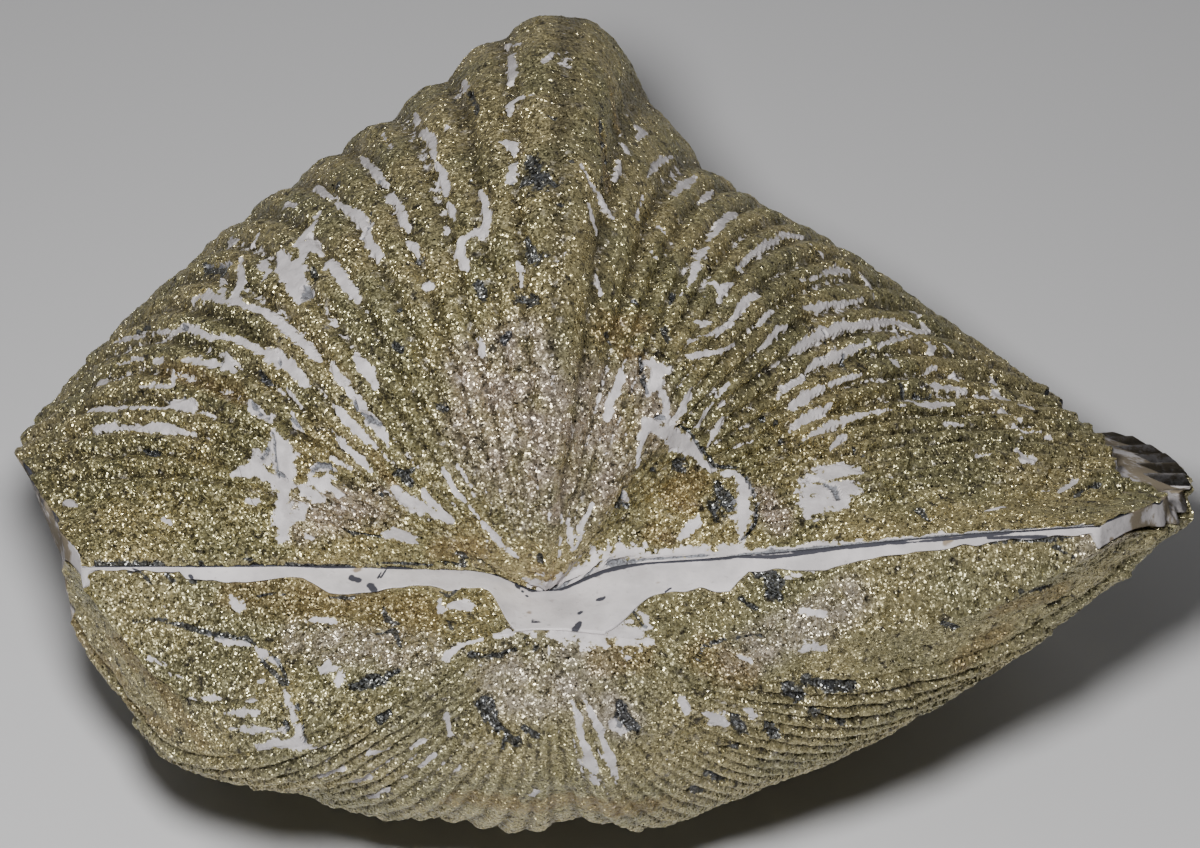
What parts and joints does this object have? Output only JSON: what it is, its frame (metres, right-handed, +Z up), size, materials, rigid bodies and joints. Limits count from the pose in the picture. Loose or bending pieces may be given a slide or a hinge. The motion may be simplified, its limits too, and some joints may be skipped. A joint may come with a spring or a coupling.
{
  "type": "fossil brachiopod",
  "caption": "Pyritized spiriferid brachiopod fossil with ribbed valves, a high central fold, a straight hinge and grey shale showing between the valves.",
  "frame": {"origin": "centre of the footprint, on the surface that the shell rests on", "axes": "+X along the hinge line towards the longer, pointed wing; +Y from the hinge towards the front margin, which is tipped down; +Z up, away from the surface, on the brachial valve's side"},
  "size_m": [0.0564, 0.048, 0.0338],
  "materials": {
    "brachial_valve": "brassy golden-brown pyrite crust of fine glittering crystals, pale grey clay left in the rib grooves",
    "pedicle_valve": "olive-golden pyrite crust of fine glittering crystals with dark tarnish and a few clay specks",
    "shale_fill": "smooth matte pale grey shale"
  },
  "bodies": {
    "root": {"brachial_valve": "brachial_valve", "pedicle_valve": "pedicle_valve", "shale_fill": "shale_fill"}
  },
  "joints": []
}
